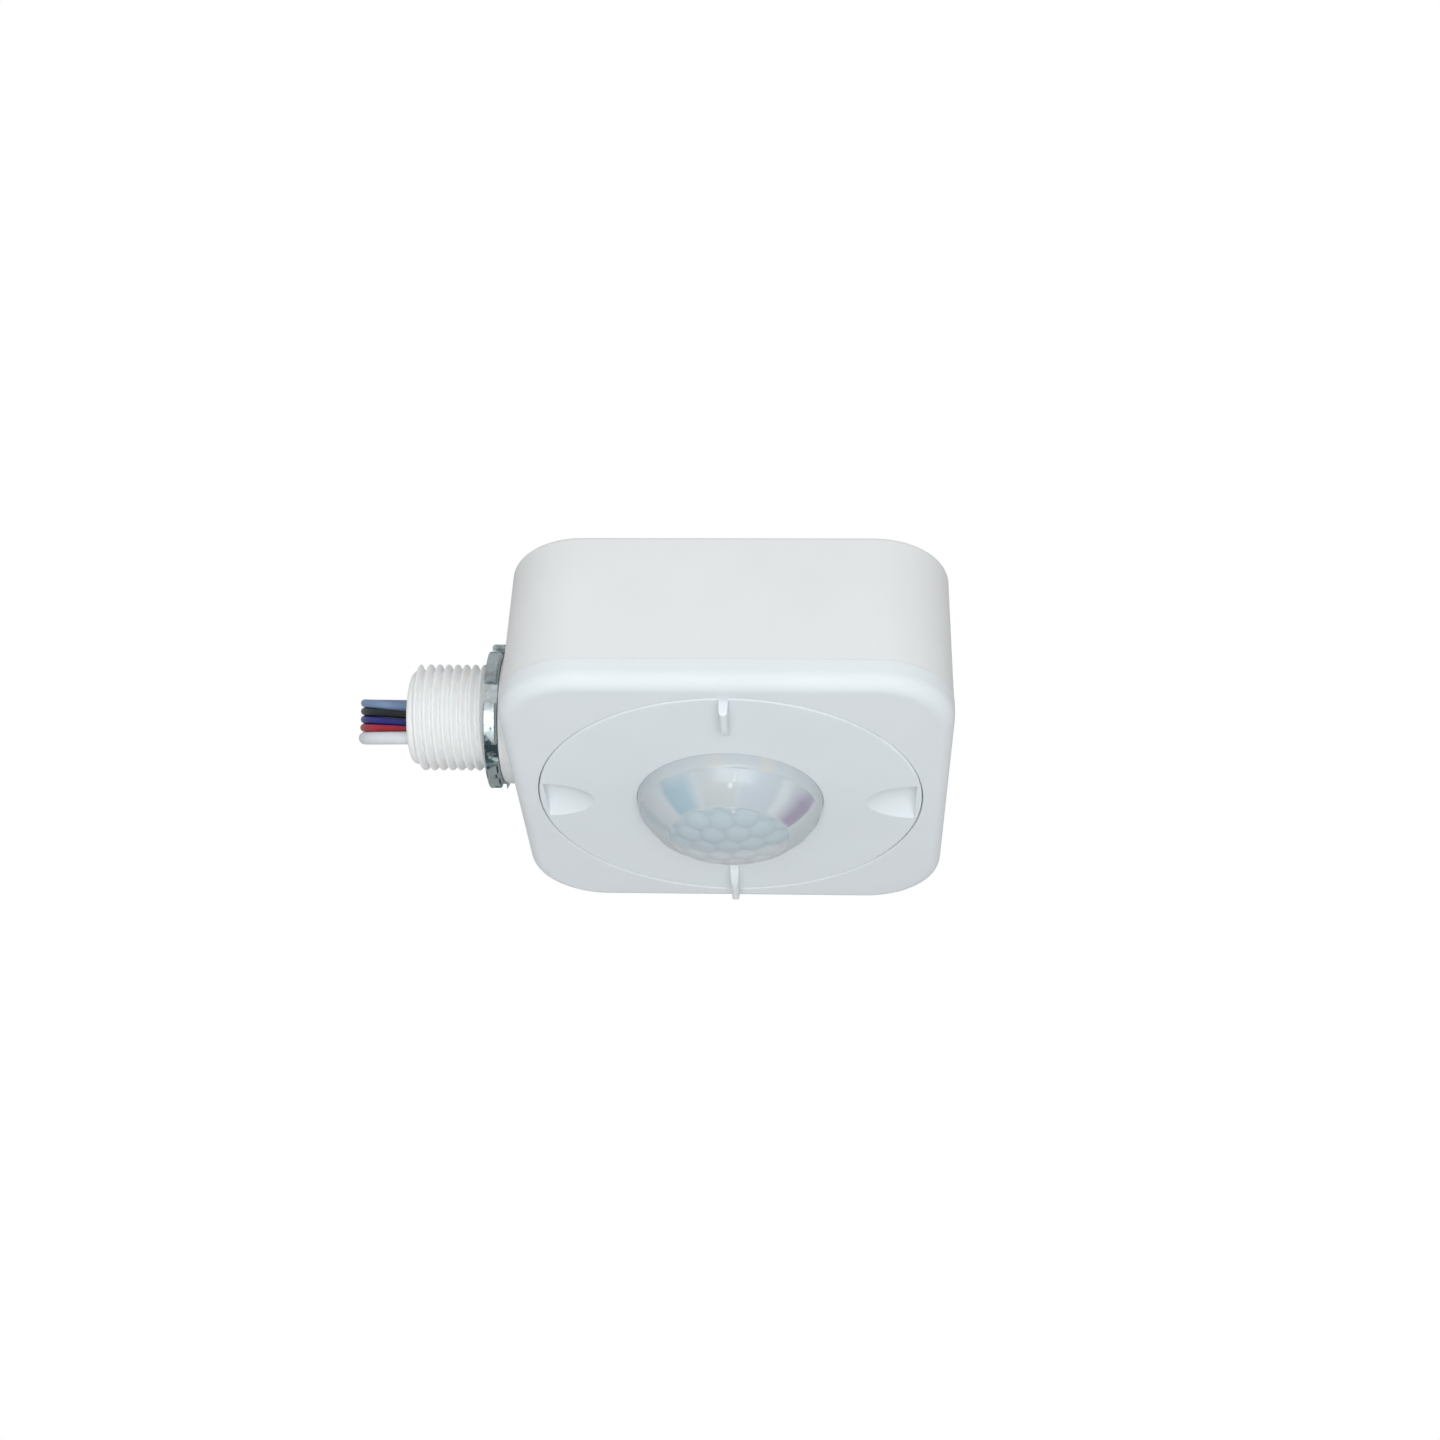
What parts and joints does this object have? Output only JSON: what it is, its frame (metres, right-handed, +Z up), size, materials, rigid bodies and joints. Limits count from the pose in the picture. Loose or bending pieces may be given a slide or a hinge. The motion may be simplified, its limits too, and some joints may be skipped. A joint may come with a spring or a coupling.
{
  "type": "motion sensor",
  "caption": "Fixture-mount infrared motion sensor: square white box with a threaded side nipple and locknut, twist-out Fresnel lens facing down, flying leads",
  "frame": {"origin": "on the threaded nipple's axis, on the shoulder face that meets the fixture's wall", "axes": "+X from the shoulder into the housing (the nipple points to -X), +Z up, from the lens towards the housing's back (the lens faces -Z), +Y completes the right-handed set"},
  "size_m": [0.1198, 0.0844, 0.0489],
  "materials": {
    "white_plastic": "satin, fine moulded texture",
    "lens_plastic": "milky translucent polyethylene",
    "black_rubber": "matte",
    "washer_nylon": "satin",
    "zinc_steel": "zinc plated, bright",
    "screw_steel": "zinc plated",
    "board_green": "solder mask",
    "can_steel": "nickel plated",
    "filter_glass": "dark infrared filter",
    "photocell_plastic": "clear lacquer",
    "led_plastic": "tinted clear",
    "dip_red": "moulded",
    "slider_white": "moulded",
    "trimmer_blue": "moulded",
    "black_plastic": "moulded",
    "pin_brass": "plated",
    "film_yellow": "moulded box",
    "can_sleeve": "shrink sleeve",
    "ferrite": "sintered",
    "copper": "enamelled wire",
    "varistor_blue": "lacquered",
    "fuse_ceramic": "glazed tube",
    "potting": "cast resin",
    "wire_gray": "insulation",
    "wire_black": "insulation",
    "wire_blue": "insulation",
    "wire_red": "insulation",
    "wire_white": "insulation",
    "tinned_copper": "tinned strands"
  },
  "bodies": {
    "housing": {"rear_housing": "white_plastic", "front_cover": "white_plastic", "cover_gasket": "black_rubber", "housing_screws": "screw_steel", "control_plate": "white_plastic", "sensor_board": "board_green", "pyro_can": "can_steel", "pyro_window": "filter_glass", "photocell": "photocell_plastic", "status_led": "led_plastic", "dip_body": "dip_red", "trimmer_body": "trimmer_blue", "button_body": "black_plastic", "signal_chip": "black_plastic", "header_body": "black_plastic", "header_pins": "pin_brass", "power_board": "board_green", "power_board_screws": "screw_steel", "relay": "black_plastic", "film_capacitor": "film_yellow", "smoothing_capacitors": "can_sleeve", "choke_core": "ferrite", "choke_winding": "copper", "surge_varistor": "varistor_blue", "fuse_link": "fuse_ceramic", "lead_seal": "potting", "lead_tails": "wire_black", "lead_conductors": "tinned_copper", "lead_gray": "wire_gray", "lead_black": "wire_black", "lead_blue": "wire_blue", "lead_red": "wire_red", "lead_white": "wire_white"},
    "washer": {"sealing_washer": "washer_nylon"},
    "nut": {"locknut": "zinc_steel"},
    "bezel": {"lens_bezel": "white_plastic", "fresnel_lens": "lens_plastic", "lens_retainer": "white_plastic", "bezel_o_ring": "black_rubber"},
    "dip_1": {"dip_slider_1": "slider_white"},
    "dip_2": {"dip_slider_2": "slider_white"},
    "dip_3": {"dip_slider_3": "slider_white"},
    "dip_4": {"dip_slider_4": "slider_white"},
    "trimmer": {"trimmer_rotor": "slider_white"},
    "button": {"button_plunger": "black_plastic"}
  },
  "joints": [
    {"name": "bezel_twist", "type": "hinge", "parent": "housing", "child": "bezel", "pos_m": [0.0447, 0, -0.0188], "axis": [0, 0, -1], "range_deg": [0, 25]},
    {"name": "washer_slide", "type": "slide", "parent": "housing", "child": "washer", "axis": [-1, 0, 0], "range_m": [0, 0.01355]},
    {"name": "nut_turn", "type": "hinge", "parent": "washer", "child": "nut", "pos_m": [0, 0, 0], "axis": [-1, 0, 0], "range_deg": [0, 2680]},
    {"name": "dip_1_slide", "type": "slide", "parent": "housing", "child": "dip_1", "axis": [0, 1, 0], "range_m": [0, 0.0012]},
    {"name": "dip_2_slide", "type": "slide", "parent": "housing", "child": "dip_2", "axis": [0, 1, 0], "range_m": [0, 0.0012]},
    {"name": "dip_3_slide", "type": "slide", "parent": "housing", "child": "dip_3", "axis": [0, 1, 0], "range_m": [0, 0.0012]},
    {"name": "dip_4_slide", "type": "slide", "parent": "housing", "child": "dip_4", "axis": [0, 1, 0], "range_m": [0, 0.0012]},
    {"name": "trimmer_turn", "type": "hinge", "parent": "housing", "child": "trimmer", "pos_m": [0.0252, -0.0185, -0.0125], "axis": [0, 0, 1], "range_deg": [0, 270]},
    {"name": "button_press", "type": "slide", "parent": "housing", "child": "button", "axis": [0, 0, 1], "range_m": [0, 0.00025], "stiffness_N_per_m": 1000}
  ],
  "couplings": [
    {"joint": "washer_slide", "follows": "nut_turn", "m_per_rad": 0.00028876}
  ]
}
